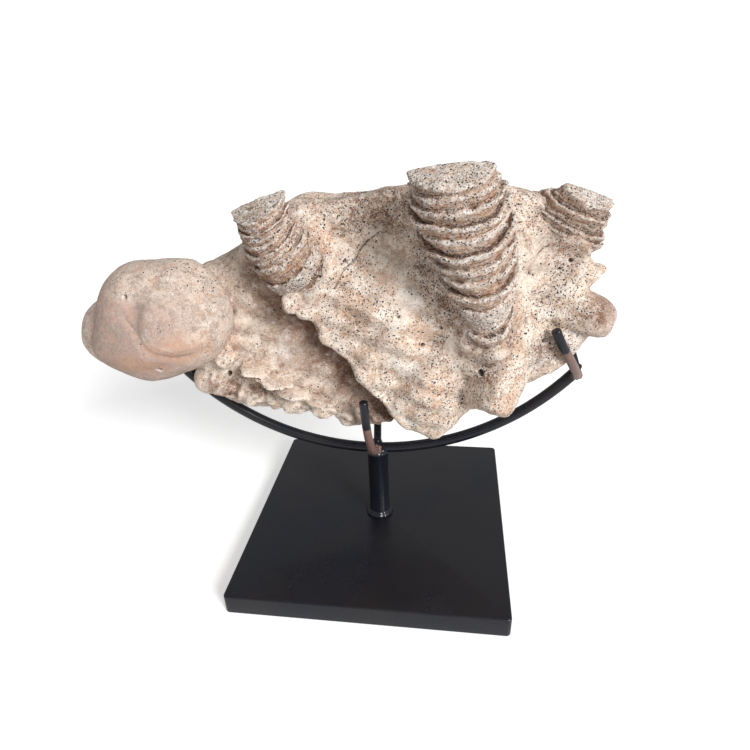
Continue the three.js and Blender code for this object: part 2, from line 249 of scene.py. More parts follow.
class Horn:
    """Nested cups stacked on a curved spine, each flaring out to a thin rim above the next slot."""

    def __init__(self, name, spine, half_width, reach, bury, up, rims, pale, slot, gap, droop, seed, voxel,
                 around):
        self.name = name
        self.half_width = half_width  # of a ring, from the share of the way up the spine
        self.reach = reach  # how far a ring stands out in front
        self.bury = bury  # how far it goes in behind
        self.up = up  # the way that a ring faces
        self.rims = rims  # heights of the rims along the spine
        self.pale = pale  # cups whose walls are worn pale
        self.slot = slot  # size of a slot as a share of the ring
        self.gap = gap  # depth of a slot inside its cup
        self.droop = droop  # how much lower a ring is in front than at its sides
        self.seed = seed
        self.voxel = voxel
        self.around = around  # steps round a ring
        self.centres, self.length = spline(spine, False, SPINE_STEPS)

    def ring_frame(self, height):
        t = min(1.0, max(0.0, height / self.length))
        centre = Vector(self.centres[round(t * SPINE_STEPS)])
        normal = Vector(self.up(t)).normalized()
        side = (Vector((1, 0, 0)) - normal * normal.x).normalized()
        out = side.cross(normal)
        if out.y > 0:
            out.negate()
        return t, centre, normal, side, out

    def point(self, cup, height, k, u, edge=0.0):
        """A point of the ring at this height: k scales the ring, edge says how much of a rim it is."""
        t, centre, normal, side, out = self.ring_frame(height)
        if u < RING_FRONT:
            angle = math.pi * u / RING_FRONT
        else:
            angle = math.pi * (1 + (u - RING_FRONT) / (1 - RING_FRONT))
        facing = max(0.0, math.sin(angle))
        spot = Vector((math.cos(angle), math.sin(angle), 0))
        wobble = 1 + 0.06 * noise.noise(spot * 2.2 + Vector((0, 0, height * 0.09 + self.seed)))
        wobble += 0.03 * noise.noise(spot * 5.0 + Vector((0, 0, cup * 3.1 + self.seed)))
        ragged = noise.noise(spot * 6.5 + Vector((0, 0, cup * 2.3 + height * 0.2 + self.seed)))
        chip = max(0.0, noise.noise(spot * 2.6 + Vector((0, 0, cup * 5.7 + self.seed + 9))) - 0.3)
        grown = ease(0.3, 0.6, noise.noise(spot * 1.4 + Vector((0, 0, cup * 7.3 - self.seed))))
        k = mix(k, max(k, 0.93), grown * (1 - edge))
        k *= 1 - edge * (0.02 * ragged + 0.16 * chip)
        across = math.cos(angle) * self.half_width(t) * k * wobble
        reach = (self.reach(t) if angle <= math.pi else self.bury(t)) * k * wobble
        ahead = math.sin(angle) * reach
        over = max(0.0, height - self.length) + min(0.0, height)
        sway = 1.8 * noise.noise(Vector((cup * 4.1, self.seed, 0.7)))
        lift = over + sway * math.cos(angle) - self.droop * facing
        lift += 1.5 * facing * noise.noise(spot * 1.8 + Vector((cup * 2.9, 0, self.seed)))
        lift += edge * facing * (0.9 * ragged - 5 * chip)
        return centre + side * across + out * ahead + normal * lift

    def rows(self):
        """Cup, height, size and rim share of every ring, from the lowest up."""
        rows = []
        for i, height in enumerate(self.rims):
            below = self.rims[i - 1] if i else height - 14
            flare = 1 + 0.04 * math.sin(2.4 * i + 0.7)
            rise = (1 - self.slot) / 0.2
            for share, gaps, width, edge, tone in CUP:
                if i in self.pale and tone > -0.3:
                    tone = max(tone, 0.8)
                level = mix(below, height, share) + gaps * self.gap
                rows.append((i, level, (self.slot + width * rise) * flare, edge, tone))
        return rows[:-2]

    def build(self, bm):
        rows = self.rows()
        count = len(rows) + 1
        last = len(self.rims) - 1

        def place(u, v):
            row = round(v * count)
            if row == 0:
                return self.point(0, rows[0][1] - 3, 0, 0)
            if row == count:
                return self.point(last, rows[-1][1] + 1, 0, 0)
            cup, height, k, edge, _ = rows[row - 1]
            return self.point(cup, height, k, u, edge)

        loft(bm, self.around, count, place)

    def tones(self, points):
        """Tone of each point, from the nearest points of the cups as they were drawn."""
        rows = self.rows()
        tree = KDTree(len(rows) * TONE_STEPS)
        tones = []
        for cup, height, k, edge, tone in rows:
            for j in range(TONE_STEPS):
                tree.insert(self.point(cup, height, k, j / TONE_STEPS, edge), len(tones))
                tones.append(tone)
        tree.balance()
        out = np.empty(len(points))
        for i, p in enumerate(points):
            found = tree.find_n(p, 4)
            weights = [1 / (0.3 + distance) for _, _, distance in found]
            out[i] = sum(w * tones[index] for w, (_, index, _) in zip(weights, found)) / sum(weights)
        return out

    def growth(self, points):
        """How far up the horn each point lies, in millimetres."""
        heights = np.linspace(-6, self.length + 6, 70)
        frames = [self.ring_frame(h) for h in heights]
        levels = np.stack(
            [(points - np.array(c)) @ np.array(n) - (max(0, h - self.length) + min(0, h))
             for h, (_, c, n, _, _) in zip(heights, frames)],
            axis=1,
        )
        row = np.argmax(levels < 0, axis=1)
        row = np.where(levels[:, -1] >= 0, len(heights) - 1, np.maximum(row, 1))
        every = np.arange(len(points))
        before, after = levels[every, row - 1], levels[every, row]
        share = np.clip(before / np.maximum(1e-6, before - after), 0, 1)
        return mix(heights[row - 1], heights[row], share)


MIDDLE_HORN = Horn(
    "middle_horn",
    spine=[(98, -42, 236), (93, -50, 268), (84, -60, 303), (72, -71, 340), (63, -77, 374)],
    half_width=lambda t: mix(18, 33, ease(0, 0.75, t)) - 8 * ease(0.85, 1, t),
    reach=lambda t: mix(22, 30, ease(0, 0.7, t)) - 6 * ease(0.7, 1, t),
    bury=lambda t: mix(26, 4, ease(0.55, 0.95, t)),
    up=lambda t: (mix(-0.17, -0.05, ease(0.7, 1, t)), mix(-0.5, -0.12, ease(0.55, 1, t)), 0.86),
    rims=[9, 27, 53, 67, 80, 92, 102, 111, 119, 127, 134, 141],
    pale=(2,),
    slot=0.82,
    gap=5,
    droop=6,
    seed=2.0,
    voxel=0.75,
    around=260,
)
LEFT_HORN = Horn(
    "left_horn",
    spine=[(-40, -42, 275), (-56, -45, 299), (-68, -48, 320), (-72, -49, 341)],
    half_width=lambda t: mix(29, 22, ease(0.3, 1, t)),
    reach=lambda t: mix(15, 21, t),
    bury=lambda t: mix(26, 5, ease(0.5, 0.9, t)),
    up=lambda t: (mix(-0.8, -0.3, t), mix(-0.3, -0.14, t), mix(0.66, 0.92, t)),
    rims=[30, 43, 49, 54, 60, 65, 69, 73, 78],
    pale=(0,),
    slot=0.87,
    gap=3.6,
    droop=8,
    seed=14.0,
    voxel=0.7,
    around=220,
)
RIGHT_HORN = Horn(
    "right_horn",
    spine=[(143, -20, 314), (151, -26, 330), (162, -32, 346)],
    half_width=lambda t: mix(36, 19, ease(0.2, 1, t)),
    reach=lambda t: mix(9, 18, t),
    bury=lambda t: mix(20, 4, ease(0.4, 0.95, t)),
    up=lambda t: (mix(0.62, 0.3, t), mix(-0.3, -0.1, t), mix(0.8, 0.94, t)),
    rims=[10, 16, 22, 28, 37],
    pale=(0,),
    slot=0.88,
    gap=3.2,
    droop=5,
    seed=31.0,
    voxel=0.65,
    around=180,
)
HORNS = (MIDDLE_HORN, LEFT_HORN, RIGHT_HORN)


def lump(bm, at, half, lean=0.0, around=40, along=24, shape=None):
    """A lump on three half axes, turned about Y, and worked over by shape."""
    c, s = math.cos(math.radians(lean)), math.sin(math.radians(lean))

    def place(u, v):
        a = math.sin(math.pi * v) * math.cos(TAU * u)
        b = math.sin(math.pi * v) * math.sin(TAU * u)
        h = math.cos(math.pi * v)
        k = shape(a, b, h) if shape else 1.0
        x, z = a * half[0] * k, h * half[2] * k
        return at[0] + c * x - s * z, at[1] + b * half[1] * k, at[2] + s * x + c * z

    loft(bm, around, along, place)


def knob(bm):
    """The smooth rounded end of the lowest rib, with a second lip behind it."""
    def face(a, b, h):
        return (1 + 0.04 * math.sin(3.1 * a + 1.2) * math.cos(2.6 * h) + 0.02 * math.sin(6 * a - 4 * h)
                - 0.07 * math.exp(-((a + 0.1) ** 2) * 6 - (h + 0.62) ** 2 * 30)
                - 0.2 * ease(0.0, 0.9, -a) * ease(-0.2, 0.6, h)
                - 0.06 * ease(0.3, 1, a) * ease(0, 0.8, -h))

    lump(bm, (-174, -42, 247), (67, 43, 52), 16, 110, 70, face)
    lump(bm, (-223, -20, 228), (40, 27, 32), 30, 70, 44)


FRINGE_PLATES = [
    # centre, half axes, lean
    ((-126, -32, 208), (9, 12, 8.0), 10),
    ((-100, -34, 200), (13, 17, 2.6), -16),
    ((-84, -33, 190), (16, 18, 2.6), -18),
    ((-70, -31, 178), (17, 17, 2.8), -16),
    ((-46, -29, 168), (15, 15, 3.0), -12),
]
FRINGE_LOBES = [
    ((-135, -20, 179), (14, 15, 15), 10),
    ((-112, -20, 170), (15, 15, 14), -8),
    ((-90, -18, 164), (13, 13, 11), 0),
    ((-68, -20, 162), (16, 13, 12), 12),
    ((-44, -20, 157), (14, 13, 12), 0),
    ((-19, -22, 153), (16, 13, 11), -6),
    ((6, -22, 151), (14, 12, 9), 0),
]


def crumbled(seed, share):
    """A shape function for lump that works its surface over unevenly."""
    def shape(a, b, h):
        return 1 + share * noise.noise(Vector((a, b, h)) * 2.1 + Vector((seed, 0, 0)))
    return shape


def fringe(bm):
    """Thin plates that stand out of the lowest rib's lower edge, over a row of round lobes."""
    for i, (at, half, lean) in enumerate(FRINGE_PLATES):
        lump(bm, at, half, lean, 48, 32, crumbled(3.7 * i, 0.3))
    for i, (at, half, lean) in enumerate(FRINGE_LOBES):
        lump(bm, at, half, lean, 48, 32, crumbled(2.9 * i + 40, 0.32))


def nubs(bm):
    """Small forms between the big ones."""
    def blunt(a, b, h):
        return 0.96 * (a ** 4 + b ** 4 + h ** 4) ** -0.17 + 0.03 * math.sin(5 * a + 3 * h)

    lump(bm, (-54, -46, 269), (9, 12, 11), -20)
    lump(bm, (102, -50, 231), (13, 17, 9), 10)
    lump(bm, (168, -14, 250), (31, 20, 17), -18, 70, 44, blunt)
    lump(bm, (176, -8, 281), (11, 9, 5), 10)
    lump(bm, (-150, -12, 180), (18, 20, 16), 30)


def hinge(bm):
    """The thick hinge ledge low on the inside, with two teeth."""
    lump(bm, (72, 20, 180), (56, 12, 10), 6)
    lump(bm, (92, 30, 184), (20, 9, 6), 14)
    lump(bm, (52, 29, 180), (12, 8, 6), -10)


def mesh_from(bm, name):
    bmesh.ops.scale(bm, vec=(MM, MM, MM), verts=bm.verts)
    bmesh.ops.recalc_face_normals(bm, faces=bm.faces)
    mesh = bpy.data.meshes.new(name)
    bm.to_mesh(mesh)
    bm.free()
    return mesh


def new_object(mesh, name):
    obj = bpy.data.objects.new(name, mesh)
    bpy.context.scene.collection.objects.link(obj)
    return obj


def with_modifiers_applied(obj):
    """Replaces the object's mesh by what its modifiers make of it."""
    graph = bpy.context.evaluated_depsgraph_get()
    mesh = bpy.data.meshes.new_from_object(obj.evaluated_get(graph))
    obj.modifiers.clear()
    old = obj.data
    obj.data = mesh
    bpy.data.meshes.remove(old)
    return obj


def coordinates(mesh):
    points = np.empty(len(mesh.vertices) * 3, dtype=np.float32)
    mesh.vertices.foreach_get("co", points)
    return points.reshape(-1, 3).astype(float)


def set_coordinates(mesh, points):
    mesh.vertices.foreach_set("co", points.astype(np.float32).ravel())
    mesh.update()


def normals(mesh):
    values = np.empty(len(mesh.vertices) * 3, dtype=np.float32)
    mesh.vertex_normals.foreach_get("vector", values)
    return values.reshape(-1, 3).astype(float)


def relaxed(mesh, points, rounds):
    """The points after rounds of moving each one to the middle of its neighbours."""
    edges = np.empty(len(mesh.edges) * 2, dtype=np.int32)
    mesh.edges.foreach_get("vertices", edges)
    a, b = edges.reshape(-1, 2).T
    total = len(points)
    degree = np.maximum(1, np.bincount(a, minlength=total) + np.bincount(b, minlength=total))
    out = points.copy()
    for _ in range(rounds):
        spread = np.stack(
            [np.bincount(a, out[:, k][b], total) + np.bincount(b, out[:, k][a], total) for k in range(3)],
            axis=1,
        )
        out = 0.5 * out + 0.5 * spread / degree[:, None]
    return out


def store(mesh, name, values):
    attribute = mesh.attributes.new(name, "FLOAT", "POINT")
    attribute.data.foreach_set("value", values.astype(np.float32))


def smoothstep(start, end, x):
    t = np.clip((x - start) / (end - start), 0, 1)
    return t * t * (3 - 2 * t)


def blob(points, at, radius):
    """1 at the middle of a soft ball, 0 outside it; radius may differ along each axis."""
    d = np.linalg.norm((points - np.array(at)) / np.array(radius), axis=1)
    return 1 - smoothstep(0.35, 1.0, d)


def surface_noise(points, size, octaves, seed):
    """Fractal noise at each point, with features about size across."""
    offset = Vector((seed, seed * 0.7, -seed))
    return np.array([noise.fractal(Vector(p) / size + offset, 1.0, 2.0, octaves) for p in points])


def pits(points, size, seed):
    """0 on the flat and up to 1 in the middle of scattered round pits about size apart."""
    offset = Vector((seed, -seed, seed * 0.3))
    depth = np.empty(len(points))
    for i, p in enumerate(points):
        distances, centres = noise.voronoi(Vector(p) / size + offset)
        reach = 0.18 + 0.3 * noise.cell(centres[0] * 7.3)
        depth[i] = max(0.0, 1 - distances[0] / max(0.12, reach))
    return depth


def clear_of_bars(points, paths, radius):
    """Pushes points out of the stand's bars, so the shell rests against them."""
    for path in paths:
        for a, b in zip(path[:-1], path[1:]):
            span = b - a
            t = np.clip((points - a) @ span / (span @ span), 0, 1)
            away = points - (a + t[:, None] * span)
            distance = np.linalg.norm(away, axis=1)
            inside = distance < radius
            scale = radius / np.maximum(distance[inside], 1e-6)
            points[inside] = (a + t[:, None] * span)[inside] + away[inside] * scale[:, None]
    return points


# Soft patches on the front, as centre and half size in x and z
POROUS = [
    ((8, 338), (78, 26)), ((48, 300), (18, 44)), ((-4, 262), (32, 42)), ((56, 186), (36, 36)),
    ((108, 190), (28, 34)), ((148, 270), (30, 40)), ((145, 325), (44, 26)), ((-70, 330), (34, 24)),
    ((150, 225), (30, 24)), ((92, 218), (24, 18)),
]
# Stains, some of them painted shade: in the valley at the top beside the middle horn, down its left flank,
# on the right lobe and under the fringe plates
STAINS_AND_PAINTED_SHADOW = [
    ((16, 344), (66, 36)), ((50, 308), (17, 46)), ((64, 266), (15, 26)), ((94, 213), (16, 14)),
    ((143, 222), (22, 18)), ((-80, 292), (24, 22)), ((-46, 240), (18, 14)), ((-22, 196), (14, 22)),
    ((150, 296), (18, 14)), ((76, 240), (10, 26)), ((-130, 178), (26, 16)), ((-96, 176), (34, 12)),
    ((-78, 324), (26, 28)), ((176, 254), (24, 14)), ((-113, 190), (16, 9)), ((-92, 180), (16, 8)),
]
RUSTY = [
    ((-6, 258), (24, 30)), ((50, 192), (20, 26)), ((20, 284), (14, 14)), ((114, 246), (12, 34)),
    ((112, 188), (18, 20)), ((-117, 222), (6, 14)), ((-142, 236), (34, 22)), ((-178, 222), (28, 18)),
    ((46, 238), (12, 16)), ((-30, 318), (18, 18)), ((8, 330), (16, 12)), ((-157, 288), (7, 5)),
]
WORN_SMOOTH = [
    ((18, 304), (26, 28)), ((34, 270), (14, 30)), ((130, 300), (18, 30)), ((-100, 240), (50, 70)),
    ((-60, 210), (46, 50)), ((72, 232), (14, 18)), ((-168, 286), (46, 16)),
]
# Where the sheet ends over the smooth lower left part, as x and z
HANGING_EDGE = [
    (-66, 276), (-57, 256), (-45, 246), (-38, 229), (-26, 221), (-14, 208), (-6, 193), (6, 178),
    (16, 163), (27, 151),
]
# Cracks, as x and z along them
CRACKS = [
    [(-21, 278), (-14, 291), (-5, 299), (1, 309), (14, 319)],
    [(129, 300), (133, 304), (137, 306)],
    [(-29, 290), (-30, 302)],
]
# Holes through the surface, as x, z, radius and depth
HOLES = [
    (46, 230, 1.9, 3.5), (92, 211, 2.6, 4), (155, 294, 1.8, 4), (147, 288, 1.5, 3), (-13, 298, 1.6, 3),
    (-30, 297, 1.6, 3), (-31, 289, 1.5, 3), (-165, 216, 1.7, 3.5), (-179, 279, 1.5, 2.5),
    (-127, 191, 2.6, 4), (-131, 168, 1.8, 3), (-119, 161, 1.5, 3),
    (142, 330, 1.8, 3), (28, 258, 1.5, 2.5), (60, 246, 1.3, 2.5), (140, 232, 1.8, 3),
]


def patches(points, places):
    """1 in the middle of the nearest soft patch on the front and 0 outside them all."""
    shares = [np.hypot((points[:, 0] - x) / w, (points[:, 2] - z) / h) for (x, z), (w, h) in places]
    return (1 - smoothstep(0.35, 1.0, np.min(shares, axis=0))) * (points[:, 1] < FRONT_SKIN)


def beyond_line(points, corners, count):
    """Distance in millimetres from a line on the front: above 0 to its left, below 0 to its right."""
    line, _ = spline(corners, False, count)
    nearest = np.full(len(points), 1e6)
    signed = np.full(len(points), 1e6)
    for (ax, az), (bx, bz) in zip(line[:-1], line[1:]):
        dx, dz = bx - ax, bz - az
        px, pz = points[:, 0] - ax, points[:, 2] - az
        t = np.clip((px * dx + pz * dz) / (dx * dx + dz * dz), 0, 1)
        distance = np.hypot(px - t * dx, pz - t * dz)
        closer = distance < nearest
        side = np.sign(dx * pz - dz * px)
        nearest = np.where(closer, distance, nearest)
        signed = np.where(closer, side * distance, signed)
    return signed


def beyond_edge(points):
    """Distance in millimetres from the hanging edge: above 0 on the sheet, below 0 past it."""
    return beyond_line(points, HANGING_EDGE, 60)


def hanging_edge(points, ragged):
    """How far forward the front moves so that the sheet ends in a sharp edge over a deep fold."""
    off = beyond_edge(points) + 1.6 * ragged
    lip = 5.5 * smoothstep(-0.5, 0.9, off) * (1 - smoothstep(1.5, 12.0, off))
    fold = 7.0 * smoothstep(-15.0, -1.8, off) * (1 - smoothstep(-1.1, -0.3, off))
    return (lip - fold) * (points[:, 1] < -16)


def holes(points):
    """Depth in millimetres of the holes and cracks, and how much a point lies inside one."""
    depth = np.zeros(len(points))
    share = np.zeros(len(points))
    for x, z, radius, deep in HOLES:
        inside = 1 - smoothstep(0.55, 1.15, np.hypot(points[:, 0] - x, points[:, 2] - z) / radius)
        inside *= points[:, 1] < -12
        depth += deep * inside
        share = np.maximum(share, inside)
    for corners in CRACKS:
        off = np.abs(beyond_line(points, corners, 12))
        inside = (1 - smoothstep(0.2, 1.2, off)) * (points[:, 1] < -12)
        depth += 0.8 * inside
        share = np.maximum(share, 0.55 * inside)
    return depth, share


def knob_relief(points):
    """The low oval swelling on the knob, the arc grooved round its lower left and the hollow beside it."""
    x, z = (points[:, 0] + 141) / 26, (points[:, 2] - 257) / 27
    r, angle = np.hypot(x, z), np.arctan2(z, x)
    rise = 1.8 * (1 - smoothstep(0.75, 1.1, r))
    lower_left = smoothstep(0.1, 0.9, np.cos(angle + 2.2))
    rise -= 1.1 * lower_left * np.exp(-((r - 1.1) / 0.13) ** 2)
    rise -= 0.35 * lower_left * np.exp(-((r - 0.84) / 0.07) ** 2)
    hollow = np.hypot((points[:, 0] + 172) / 8, (points[:, 2] - 268) / 13)
    rise -= 3.0 * np.exp(-hollow ** 2)
    rise -= 1.5 * np.exp(-((points[:, 0] + 157) / 4.5) ** 2 - ((points[:, 2] - 288) / 3) ** 2)
    groove = ((points[:, 0] + 177) * 0.8 + (points[:, 2] - 262) * 0.6) / 1.6
    rise -= 1.2 * np.exp(-groove ** 2 - (hollow / 1.2) ** 4)
    return rise * (points[:, 1] < -40)


def regions(points):
    """Soft masks, one value a point, that the shell's relief and colours share."""
    lobe = blob(points, (184, -14, 246), (34, 36, 34))
    off = beyond_edge(points)
    front = points[:, 1] < FRONT_SKIN
    lower_left = (1 - smoothstep(-12, 2, off)) * front * (1 - smoothstep(-20, 30, points[:, 0]))
    knob_area = blob(points, (-186, -62, 248), (118, 80, 84))
    lower_left *= 1 - knob_area
    edge = np.exp(-((off + 2) / 4) ** 2) * front
    # painted shadow: a band on the smooth lower left part below the hanging edge, where the overhanging
    # sheet's shadow falls
    painted_cliff_shadow = smoothstep(-54, -8, off) * (1 - smoothstep(-1, 1, off)) * front
    return {
        "smooth": np.maximum(knob_area, 0.75 * lobe),
        "worn": np.maximum(patches(points, WORN_SMOOTH), 0.9 * lower_left),
        "painted_cliff_shadow": painted_cliff_shadow * (1 - 0.8 * knob_area),
        "porous": patches(points, POROUS) * (1 - 0.9 * lower_left),
        "stain_and_painted_shadow": np.maximum(patches(points, STAINS_AND_PAINTED_SHADOW), 0.8 * edge),
        "rusty": patches(points, RUSTY),
        "inside": smoothstep(-8, 6, points[:, 1]),
    }


def skin(bm, name, voxel):
    """One closed skin over all the forms in bm."""
    obj = new_object(mesh_from(bm, name), name)
    remesh = obj.modifiers.new("one skin", "REMESH")
    remesh.mode = "VOXEL"
    remesh.voxel_size = voxel * COARSE * MM
    remesh.adaptivity = 0.0
    with_modifiers_applied(obj)
    set_coordinates(obj.data, relaxed(obj.data, coordinates(obj.data), 2))
    return obj


def thinned(obj):
    """The object with no more than MOST_TRIANGLES triangles."""
    triangles = sum(len(p.vertices) - 2 for p in obj.data.polygons)
    if triangles > MOST_TRIANGLES:
        thin = obj.modifiers.new("fewer faces", "DECIMATE")
        thin.ratio = MOST_TRIANGLES / triangles
        with_modifiers_applied(obj)
    return obj


def body_piece(bar_paths):
    """Valve, folded sheet, knob, fringe and hinge in one skin."""
    bm = bmesh.new()
    valve(bm)
    sheet(bm)
    knob(bm)
    fringe(bm)
    nubs(bm)
    hinge(bm)
    obj = skin(bm, "valve_body", BODY_VOXEL)
    mesh = obj.data
    points, out = coordinates(mesh) / MM, normals(mesh)
    area = regions(points)
    even = np.clip(area["smooth"] + 0.6 * area["worn"] + 0.5 * area["inside"], 0, 1)
    broad = surface_noise(points, 26, 3, 3.1)
    middle = surface_noise(points, 7.5, 3, 8.2)
    pitted = pits(points, 4.6, 1.7)
    depth, _ = holes(points)
    move = (1.3 * broad * (1 - 0.45 * even) + 0.85 * middle * (1 - 0.8 * even)
            - pitted * (0.25 + 0.75 * area["porous"]) * (1 - 0.95 * even)
            - depth + knob_relief(points))
    forward = hanging_edge(points, middle)
    points = points + out * move[:, None]
    points[:, 1] -= forward
    points = clear_of_bars(points, bar_paths, ARM_RADIUS + 0.3)
    set_coordinates(mesh, points * MM)
    return thinned(obj)


def horn_piece(horn):
    """A horn in its own skin, with lumps, pits and growth lines worked into it."""
    bm = bmesh.new()
    horn.build(bm)
    obj = skin(bm, horn.name, horn.voxel)
    mesh = obj.data
    points, out = coordinates(mesh) / MM, normals(mesh)
    middle = surface_noise(points, 6, 3, 5.4)
    fine = surface_noise(points, 2.2, 2, 1.9)
    pitted = pits(points, 3.4, 6.1)
    growth = horn.growth(points)
    lamina = np.sin(TAU * growth / 3.3 + 2.5 * middle)
    move = 0.55 * middle + 0.22 * fine - 0.6 * pitted + 0.16 * lamina
    set_coordinates(mesh, (points + out * move[:, None]) * MM)
    return thinned(obj)


def closeness(points, others, reach):
    """1 where a point touches the other pieces, falling to 0 at reach."""
    tree = KDTree(len(others))
    for i, p in enumerate(others):
        tree.insert(p, i)
    tree.balance()
    distance = np.array([tree.find(p)[2] for p in points])
    return 1 - smoothstep(0.0, reach, distance)


def store_masks(obj, pieces, horn=None):
    """Vertex values that the shell's material reads."""
    mesh = obj.data
    points, out = coordinates(mesh) / MM, normals(mesh)
    area = regions(points)
    _, hole = holes(points)
    near = relaxed(mesh, points, 3)
    far = relaxed(mesh, near, 24 if horn else 40)
    # hollow and deep: how far the surface lies below its smoothed self, over a short and a long reach; the
    # material paints shade into both
    hollow = np.einsum("ij,ij->i", near - points, out)
    deep = np.einsum("ij,ij->i", far - points, out)
    others = np.concatenate([coordinates(p.data)[::3] / MM for p in pieces if p is not obj])
    # close: nearness to the other pieces, which the material paints as shade where they meet
    close = closeness(points, others, 9.0)
    ones = np.ones(len(points))
    store(mesh, "horn", ones if horn else 0 * ones)
    store(mesh, "growth", horn.growth(points) if horn else 0 * ones)
    tone = horn.tones(points) if horn else 0 * ones
    store(mesh, "tone", tone)
    if horn:
        area["porous"] = np.maximum(area["porous"], 2 * smoothstep(0.3, 0.9, tone))
    for name, values in area.items():
        store(mesh, name, values * (0.5 if horn and name != "inside" else 1.0))
    store(mesh, "hole", 0 * ones if horn else hole)
    store(mesh, "close", close)
    store(mesh, "hollow", np.clip(hollow / 0.5, -1, 1))
    store(mesh, "deep", np.clip(deep / (1.6 if horn else 3.0), -1, 1))


# Stand


def on_arc(angle):
    """The point of the cradle rod at this angle from its lowest point."""
    x = ARC_RADIUS * math.sin(math.radians(angle))
    z = ARC_RADIUS - ARC_RADIUS * math.cos(math.radians(angle))
    c, s = math.cos(math.radians(ARC_TILT)), math.sin(math.radians(ARC_TILT))
    return c * x - s * z, 0.0, ROD_LOW + s * x + c * z


ARMS = {
    "centre_front_arm": [(0, -8, 101), (-1, -24, 112), (-2, -37, 132), (-3, -44, 154), (-4, -46, 176)],
    "centre_back_arm": [(-1, 8, 102), (-2, 20, 114), (-3, 28, 132), (-4, 32, 150), (-4, 34, 166)],
    "right_front_arm": [(176, -7, 188), (171, -18, 199), (162, -30, 216), (154, -37, 230), (148, -39, 242)],
    "right_back_arm": [(177, 7, 190), (174, 18, 200), (169, 27, 214), (164, 32, 230), (160, 33, 244)],
    "left_back_arm": [(-174, 7, 181), (-166, 18, 190), (-158, 28, 203), (-152, 32, 218), (-148, 33, 231)],
}


def bar(bm, path, radius, around=28, cap=0.55):
    """A round bar along a path of points, with softly rounded ends."""
    points = np.array(path)
    steps = len(points) - 1
    tangents = np.gradient(points, axis=0)
    tangents /= np.linalg.norm(tangents, axis=1)[:, None]
    caps = 5
    rows = []
    for i in range(caps):
        a = math.pi / 2 * i / caps
        rows.append((0, -cap * radius * math.cos(a), math.sin(a)))
    rows += [(i, 0.0, 1.0) for i in range(steps + 1)]
    for i in range(caps - 1, -1, -1):
        a = math.pi / 2 * i / caps
        rows.append((steps, cap * radius * math.cos(a), math.sin(a)))

    def place(u, v):
        i, beyond, k = rows[round(v * (len(rows) - 1))]
        tangent = Vector(tangents[i])
        across = Vector((0.1, 0.2, 1)) if abs(tangent.z) < 0.9 else Vector((0, 1, 0))
        side = tangent.cross(across).normalized()
        other = tangent.cross(side)
        ring = (side * math.cos(TAU * u) + other * math.sin(TAU * u)) * radius * k
        return Vector(points[i]) + tangent * beyond + ring

    loft(bm, around, len(rows) - 1, place)


def weld(bm, at, half, lean=0.0, seed=0.0):
    """A lumpy bead of weld."""
    def ripple(a, b, h):
        uneven = 0.16 * noise.noise(Vector((a * 2.2 + seed, b * 2.2, h * 2.2)))
        return 1 + uneven + 0.05 * math.sin(9 * a + seed)

    lump(bm, at, half, lean, 26, 16, ripple)


def base_plate():
    """The square plate, with rounded corners and softly broken edges."""
    bm = bmesh.new()
    bmesh.ops.create_cube(bm, size=1.0)
    bmesh.ops.scale(bm, vec=(PLATE_SIDE, PLATE_SIDE, PLATE_THICK), verts=bm.verts)
    bmesh.ops.translate(bm, vec=(0, 0, PLATE_THICK / 2), verts=bm.verts)
    corners = [e for e in bm.edges if abs(e.verts[0].co.z - e.verts[1].co.z) > 1]
    bmesh.ops.bevel(bm, geom=corners, offset=4.0, offset_type="OFFSET", segments=6, profile=0.5,
                    affect="EDGES", material=-1)
    rims = [e for e in bm.edges
            if abs(e.verts[0].co.z - e.verts[1].co.z) < 0.1 and len(e.link_faces) == 2
            and e.calc_face_angle() > 1.0]
    bmesh.ops.bevel(bm, geom=rims, offset=1.6, offset_type="OFFSET", segments=4, profile=0.5,
                    affect="EDGES", material=-1)
    return new_object(mesh_from(bm, "plate_steel"), "plate_steel")


def post():
    """The post, turned from its profile, with the bead at its foot and the saddle under the rod."""
    profile = [
        (0, 20.3), (13.2, 20.3), (13.5, 21.0), (13.0, 22.6), (11.6, 23.8), (10.5, 24.7), (POST_RADIUS, 26),
        (POST_RADIUS, POST_TOP), (10.9, POST_TOP + 1.2), (11.0, POST_TOP + 2.6), (9.6, POST_TOP + 4.4),
        (6, POST_TOP + 6.4), (0, POST_TOP + 7),
    ]
    bm = bmesh.new()
    verts = [bm.verts.new((r, 0, z)) for r, z in profile]
    edges = [bm.edges.new(pair) for pair in zip(verts[:-1], verts[1:])]
    bmesh.ops.spin(bm, geom=verts + edges, cent=(0, 0, 0), axis=(0, 0, 1), angle=TAU, steps=64,
                   use_merge=True)
    bmesh.ops.remove_doubles(bm, verts=bm.verts, dist=1e-3)
    for vert in bm.verts:
        angle = math.atan2(vert.co.y, vert.co.x)
        if vert.co.z < 25.5 or vert.co.z > POST_TOP + 0.5:
            bead = 0.25 * math.sin(17 * angle) + 0.4 * math.sin(7 * angle + 1) * math.sin(4 * angle)
            radius = math.hypot(vert.co.x, vert.co.y)
            if radius > 8:
                vert.co.x += bead * math.cos(angle)
                vert.co.y += bead * math.sin(angle)
    return new_object(mesh_from(bm, "post_bar"), "post_bar")


def cradle_rod():
    """The rod bent to an arc, with its weld to the post, and the path it follows."""
    bm = bmesh.new()
    path = [on_arc(mix(-ARC_HALF_ANGLE, ARC_HALF_ANGLE, i / 120)) for i in range(121)]
    bar(bm, path, ROD_RADIUS, 32, 1.0)
    weld(bm, (0, -1, 97.5), (11, 8.5, 6), 0, 3.0)
    return new_object(mesh_from(bm, "cradle_arc"), "cradle_arc"), path


